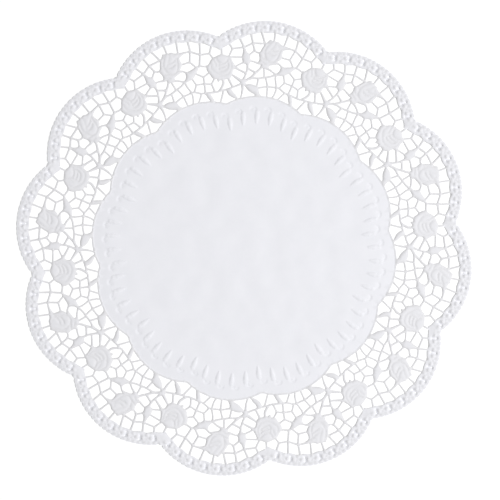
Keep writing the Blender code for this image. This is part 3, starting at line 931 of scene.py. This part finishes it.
# %% Rows over the border
EYELET_ROWS = (1.6, 2.35, 3.3, 4.2, 5.1, 6.0, 6.9, 7.8, 8.8)    # mm in from the outer edge
EYELET_ASIDES = (0.0, -0.9, 0.9, -1.8, 1.8, -2.7, 2.7)          # mm to each side of an eyelet's middle
FLOWER_ROWS, FLOWER_ASIDES = EYELET_ROWS[2:], (0.0, -1.0, 1.0, -2.0, 2.0)


def border_points():
    """Points round the eyelets, over the flowers and in the picots, in the border's own directions."""
    found = []
    grids = ((EYELETS_AT, EYELET_ROWS, EYELET_ASIDES), (flower_angles, FLOWER_ROWS, FLOWER_ASIDES))
    for angles, rows, asides in grids:
        for angle, inward, aside in product(angles, rows, asides):
            turn = degrees(aside / (EDGE.radius - inward))
            found.append(on_lobe(EDGE, angle + turn, inward))
    middles = [(start + stop) / 2 for start, stop in zip(notches, notches[1:])]
    found += [on_lobe(EDGE, angle, PICOT_IN) for angle in notches + middles]
    return np.array(found)


border_rows = border_points()
print(f"{len(border_rows)} points over the border")

# %% Rows along the lines
SUNK_STEP = 1.0                          # mm between points of a row along a sunken line
LIP = 0.65                               # mm from a sunken line's bottom to its lips
ROW_TURN = 0.6                           # degrees between points of a row along a scalloped line


def lobe_row(line, inward):
    """Points at even steps along a line inside a scalloped one."""
    angles = np.arange(0.5, TURN / ROW_TURN) * ROW_TURN - TURN / 2
    return np.array([polar(lobe_radius(line, angle) - inward, angle) for angle in angles])


def sunk_rows(lines):
    """The bottoms of sunken lines, then their lips."""
    found = []
    for aside in (0.0, -LIP, LIP):
        for line in lines:
            points, right = evenly(np.array(line.points), SUNK_STEP)
            found.append(points + right * aside)
    return np.concatenate(found)


line_rows = np.concatenate([lobe_row(HUB, LINE_IN + n * LINE_WIDTH) for n in range(3)])
flower_rows = sunk_rows(ROSE_LINES + BUD_LINES)
print(f"{len(line_rows)} points along the centre's edge, {len(flower_rows)} along sunken lines")

# %% Rows over the drops and crescents
DROP_ROWS, DROP_SHARES = 12, (1.0, 0.7, 0.4, 0.0)    # rows along a drop, shares of its half-width in each
DROP_FOOT = 0.6                          # mm from a drop to the points round its foot
CRESCENT_FOOT = 0.7                      # the same for a crescent
CRESCENT_TURNS = range(-110, 111, 22)    # degrees round a crescent


def copied(points, places):
    """Points in the own directions of an ornament, one copy for each place."""
    return np.concatenate([turned(points, place.facing) + place.middle for place in places])


def drop_points():
    """Rows along a drop: round its foot, up its flanks and along its top."""
    found = []
    for outward in np.linspace(DROP_POINT, DROP_TOP, DROP_ROWS):
        half = drop_half(outward)
        for aside in (half + DROP_FOOT, *(share * half for share in DROP_SHARES)):
            found += [(aside, outward), (-aside, outward)]
    found += [(0.0, DROP_TOP + DROP_FOOT), (0.0, DROP_POINT - DROP_FOOT)]
    return copied(np.array(found), drops)


def crescent_points():
    """Rows along a crescent: the groove's bottom, both its lips and a row just outside."""
    found = [(0.0, 0.0)]
    for radius, angle in product((*GROOVE_AT, GROOVE_AT[-1] + CRESCENT_FOOT), CRESCENT_TURNS):
        found.append(polar(radius, angle))
    return copied(np.array(found), crescents)


drop_rows, crescent_rows = drop_points(), crescent_points()
print(f"{len(drop_rows)} points over the drops, {len(crescent_rows)} over the crescents")

# %% [markdown]
# ## Honeycombs, and which points stay
# The last helping is a set of honeycombs, fine over the border and coarse in the middle. All helpings
# are then offered in turn. A point is dropped when it falls in a hole, or when it would crowd one that
# is already there.

# %% Honeycombs
SPREAD = 0.72                            # share of its spacing that a honeycomb keeps free
COMB_ACROSS = CHART_SPAN / 7             # a little over half a repeat's width, mm
ROW_SHARE = sqrt(0.75)                   # height of a honeycomb row for its spacing
Zone = namedtuple("Zone", "spacing line inner outer")    # the last two are mm inside the line
ZONES = (
    Zone(1.15, EDGE, 6.7, 0.0),
    Zone(1.35, BORDER, 46.0, 0.0),
    Zone(3.0, HUB, 22.0, 0.0),
    Zone(5.2, HUB, 120.0, 22.0),
)


def comb(spacing, across, high):
    """Honeycomb points over a rectangle, from -across to across and from 0 to high."""
    rows = np.arange(int(high / spacing / ROW_SHARE) + 1)
    columns = np.arange(-int(across / spacing) - 1, int(across / spacing) + 2)
    row, column = (part.ravel() for part in np.meshgrid(rows, columns))
    return np.column_stack([(column + 0.5 * (row % 2)) * spacing, row * spacing * ROW_SHARE])


def zone_points(zone):
    """Honeycomb points of a zone, in the repeat's own slice."""
    points = comb(zone.spacing, COMB_ACROSS, CHART_SPAN / 2)
    angles = angles_of(points)
    inward = lobe_radius(zone.line, angles) - np.hypot(*points.T)
    inside = (inward > zone.outer) & (inward < zone.inner)
    return points[inside & (angles >= -TURN / 2) & (angles < TURN / 2)]


combs = [zone_points(zone) for zone in ZONES]
print(f"{sum(map(len, combs))} points in {len(combs)} honeycombs")

# %% Points on paper
CROWD, DROP_CROWD = 0.6, 0.5             # least distance between points of the rows, mm
EDGE_CLEAR = 0.3                         # least distance from a cut edge, mm


def in_holes(points):
    """True for points that lie in a gap or an eyelet, by counting the sides crossed on the way out."""
    crossed = np.zeros(len(points), bool)
    for (x0, y0), (x1, y1) in zip(*hole_sides):
        if y0 != y1:
            between = (y0 > points[:, 1]) != (y1 > points[:, 1])
            crossed ^= between & (points[:, 0] < x0 + (points[:, 1] - y0) * (x1 - x0) / (y1 - y0))
    return crossed


def in_paper(points):
    """True for points on paper and clear of every cut edge."""
    edge = np.minimum(distance_to(points, *hole_sides), distance_to(points, *rim_sides))
    return inside_line(EDGE, points) & (edge > EDGE_CLEAR) & ~in_holes(points)


helpings = [(row, CROWD) for row in (crest_row, rim_row, border_rows, line_rows, flower_rows)]
helpings += [(drop_rows, DROP_CROWD), (crescent_rows, CROWD)]
helpings += [(points, SPREAD * zone.spacing) for points, zone in zip(combs, ZONES)]
candidates = np.concatenate([points for points, _ in helpings])
spacings = np.concatenate([np.full(len(points), spacing) for points, spacing in helpings])
on_paper = in_paper(candidates)
print(f"{len(candidates)} candidate points, {int(on_paper.sum())} of them on paper")

# %% Thin out crowded points
CELL = 2.0               # mm, side of the boxes in which neighbours are looked up
boxes = {}
inner_points = []


def crowded(point, spacing):
    """True if a kept point, here or in a neighbouring repeat, is closer than the spacing."""
    column, row = int(point[0] // CELL), int(point[1] // CELL)
    for i in range(column - 1, column + 2):
        for j in range(row - 1, row + 2):
            for other in boxes.get((i, j), ()):
                if hypot(point[0] - other[0], point[1] - other[1]) < spacing:
                    return True
    return False


for point, spacing in zip(candidates[on_paper], spacings[on_paper]):
    if not crowded(point, min(spacing, CELL)):
        inner_points.append(point)
        for turn in NEARBY:
            copy = turned(point, turn)
            boxes.setdefault((int(copy[0] // CELL), int(copy[1] // CELL)), []).append(copy)
inner_points = np.array(inner_points)
inner_heights, inner_shade = formed(inner_points)
print(f"{len(inner_points)} points inside one repeat, up to {inner_heights.max():.2f} mm high")

# %% [markdown]
# ## Filling the sheet
# A constrained Delaunay triangulation joins all points into well-shaped triangles and keeps every cut
# edge. It also reports which loops cover each triangle. A triangle covered only by the outer edge is
# paper, and one that a gap covers too is a hole, so it is left out. The centre needs a point of its
# own. Very gentle waves, and shallow dents where the sheet is plain, keep it from lying like glass.

# %% One sheet, twelve repeats
THICK = 0.12             # mm; card-like for a doily, so that the cut edge shows
GROUND = 0.05            # least height of the underside above the table, mm
WAVE = 0.35              # most that the gentle waves lift the outer edge, mm
WAVES = ((0, pi / 2, 0.5), (3, 0.6, 0.3), (7, 2.0, 0.2))    # how many round the sheet, where, and share
DENT_SIZE = 15.0         # about the width of the shallow dents that handling leaves, mm
DENT_DEPTH = 0.65        # mm
DENT_LEVEL = 0.5         # share of it at which even paper lies
DENTS_AT, DENTS = (8.0, 30.0), (0.0, 1.0)    # mm inside the edge of the plain centre, and their share


def waves(points):
    """Slow swells of the loose sheet, growing toward its edge, mm."""
    radius = np.hypot(*points.T) / (CHART_SPAN / 2)
    turn = np.arctan2(points[:, 1], points[:, 0])
    swell = sum(share * np.sin(count * turn + start) for count, start, share in WAVES)
    return WAVE * swell * radius ** 3


def dents(points):
    """Shallow unevenness of the plain centre, mm, from smooth noise between about -1 and 1."""
    share = np.interp(lobe_radius(HUB, angles_of(points)) - np.hypot(*points.T), DENTS_AT, DENTS)
    uneven = [swelling((across, outward, 0.0)) for across, outward in points / DENT_SIZE]
    return DENT_DEPTH * share * np.clip(DENT_LEVEL + np.array(uneven), 0.0, 1.0)


rim_loop = np.concatenate([turned(edge_loop[::-1], -turn) for turn in ALL_ROUND])
loops = [rim_loop] + [turned(loop, turn) for turn in ALL_ROUND for loop in gap_loops + eyelet_loops]
cut_points = np.concatenate(loops)
centre_point = np.zeros((1, 2))
filling = np.concatenate([turned(inner_points, turn) for turn in ALL_ROUND] + [centre_point])
flat = np.concatenate([cut_points, filling])
height = np.concatenate([cut_height(cut_points), np.tile(inner_heights, REPEATS), [0.0]])
height += waves(flat) + dents(flat) + GROUND + THICK
# painted shade for every point of the sheet; none on the outer rim
_, hole_shade = formed(np.concatenate(gap_loops + eyelet_loops))
rim_shade = np.zeros(len(rim_loop))
shade_share = np.concatenate([rim_shade, np.tile(hole_shade, REPEATS), np.tile(inner_shade, REPEATS), [0.0]])
print(f"{len(cut_points)} cut points and {len(filling)} inner points")

# %% Triangles
INSIDE = 1               # output type: triangles inside the outlines
WELD = 1e-6              # mm, distance within which points count as one

firsts = np.cumsum([0] + [len(loop) for loop in loops]).tolist()
outlines = [list(range(first, stop)) for first, stop in zip(firsts, firsts[1:])]
_, _, faces, sources, _, covering = delaunay_2d_cdt(flat.tolist(), [], outlines, INSIDE, WELD)
number = [source[0] for source in sources]
paper_faces = [[number[i] for i in face] for face, cover in zip(faces, covering) if cover == [0]]
paper_area = (doubled_area(rim_loop) - sum(map(doubled_area, loops[1:]))) / 2 * MM ** 2    # square metres
print(f"{len(paper_faces)} triangles, paper area {paper_area:.4f} m2")

# %% The lace as one mesh
lace_mesh = bpy.data.meshes.new("lace_sheet")
places = np.column_stack([flat, height]) * MM
places[:, 2] += solid_low[2]
lace_mesh.from_pydata(places.tolist(), [], paper_faces)
# the share of painted shade rides along as a point attribute for the paper's colour
lace_mesh.attributes.new("painted_shade", "FLOAT", "POINT").data.foreach_set("value", shade_share)
lace = stand("lace_sheet", lace_mesh)

lace_mesh.shade_smooth()
sides_here = Counter(key for polygon in lace_mesh.polygons for key in polygon.edge_keys)
for edge in lace_mesh.edges:
    edge.use_edge_sharp = sides_here[edge.key] == 1

solidify = lace.modifiers.new("thickness", "SOLIDIFY")
solidify.thickness = THICK * MM
solidify.offset = -1.0
whole = lace.evaluated_get(bpy.context.evaluated_depsgraph_get()).to_mesh()
whole.calc_loop_triangles()
print(f"{len(whole.loop_triangles)} triangles with both sides and the cut edge")

# %% [markdown]
# ## Shader sums in plain words
# A small class wraps a shader socket, so that sums can be written as Python and the Math nodes build
# themselves. Only sums and products are needed here. Numbers that are alone stay in Python.

# %% Shader helpers
class Value:
    """A shader value that takes part in ordinary sums."""

    def __init__(self, socket):
        self.socket = socket

    def _math(self, operation, other):
        nodes = Nodes(self.socket.id_data)
        return nodes.add("ShaderNodeMath", {"operation": operation}, {0: self, 1: other})["Value"]

    def __add__(self, other):
        return self._math("ADD", other)

    def __mul__(self, other):
        return self._math("MULTIPLY", other)

    __radd__ = __add__
    __rmul__ = __mul__


class Nodes:
    """Adds any node to a tree: its settings first, then the values or links of its sockets."""

    def __init__(self, tree):
        self.tree = tree

    def add(self, kind, settings=None, inputs=None):
        node = self.tree.nodes.new(kind)
        for name, setting in (settings or {}).items():
            setattr(node, name, setting)
        self.feed(node, inputs or {})
        return {socket.name: Value(socket) for socket in node.outputs if socket.enabled}

    def feed(self, node, inputs):
        for name, value in inputs.items():
            if isinstance(value, Value):
                self.tree.links.new(value.socket, node.inputs[name])
            else:
                node.inputs[name].default_value = value


print("shader helpers ready")

# %% [markdown]
# ## Paper
# Uncoated paper is matt and not quite even. Its fibres clump into faint clouds a few millimetres wide,
# and its surface has a fine grain that catches a low light. Both are noise in the sheet's own
# coordinates. The white leans a little to blue, as bleached paper does. Where a point's share of
# painted shade is high, a grey is mixed in as painted shade.

# %% Paper finish
PAPER_WHITE = (0.81, 0.81, 0.845, 1.0)
PAPER_CLOUD = (0.755, 0.76, 0.80, 1.0)
# grey painted in where the paper would lie in shade
PAPER_SHADED = (0.70, 0.695, 0.71, 1.0)
CLOUD_SCALE, CLOUD_DETAIL = 110.0, 3.0     # clumps per metre, and how many finer ones they hold
FIBRE_SCALE, GRAIN_SCALE, FINE_DETAIL = 900.0, 2600.0, 2.0
CLOUD_SHARE, FIBRE_SHARE = 0.7, 0.3        # of the colour's unevenness
SMOOTHEST, GRAIN_ROUGH = 0.78, 0.14        # least roughness, and what the grain adds at most
BUMP_STRENGTH, BUMP_DEPTH = 0.25, 0.00006  # the second in metres
FIBRE_BUMP, GRAIN_BUMP = 0.6, 0.4          # shares of the bump

paper = bpy.data.materials.new("white_paper")
paper.use_nodes = True
nodes = Nodes(paper.node_tree)
place = nodes.add("ShaderNodeTexCoord")["Object"]


def noise(scale, detail):
    """Noise over the sheet, about 0 to 1."""
    inputs = {"Vector": place, "Scale": scale, "Detail": detail}
    return nodes.add("ShaderNodeTexNoise", {"noise_dimensions": "3D"}, inputs)["Fac"]


def mixed(share, low, high):
    """A colour between two others."""
    return nodes.add("ShaderNodeMix", {"data_type": "RGBA"}, {0: share, 6: low, 7: high})["Result"]


clouds = noise(CLOUD_SCALE, CLOUD_DETAIL)
fibres, grain = (noise(scale, FINE_DETAIL) for scale in (FIBRE_SCALE, GRAIN_SCALE))
# the share of painted shade mixes that grey into the paper's own colour
painted_shade = nodes.add("ShaderNodeAttribute", {"attribute_name": "painted_shade"})["Fac"]
loose = mixed(clouds * CLOUD_SHARE + fibres * FIBRE_SHARE, PAPER_CLOUD, PAPER_WHITE)
rough = fibres * FIBRE_BUMP + grain * GRAIN_BUMP
relief = {"Strength": BUMP_STRENGTH, "Distance": BUMP_DEPTH, "Height": rough}
nodes.feed(paper.node_tree.nodes["Principled BSDF"], {
    "Base Color": mixed(painted_shade, loose, PAPER_SHADED),
    "Roughness": SMOOTHEST + grain * GRAIN_ROUGH,
    "Normal": nodes.add("ShaderNodeBump", {}, relief)["Normal"],
})
lace_mesh.materials.append(paper)
print(f"paper made of {len(paper.node_tree.nodes)} nodes")

# %% Floor finish
FLOOR_WHITE = (0.9, 0.9, 0.9, 1.0)
FLOOR_ROUGH = 0.9
GLOW = 0.13                                # how strongly the table shines by itself

floor_paint = bpy.data.materials.new("white_floor")
floor_paint.use_nodes = True
Nodes(floor_paint.node_tree).feed(floor_paint.node_tree.nodes["Principled BSDF"], {
    "Base Color": FLOOR_WHITE,
    "Roughness": FLOOR_ROUGH,
    "Emission Color": WHITE,
    "Emission Strength": GLOW,
})
floor_mesh.materials.append(floor_paint)
print("floor finished")

# %% Hand the sheet over
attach(lace, "root")
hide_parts(SOLID)
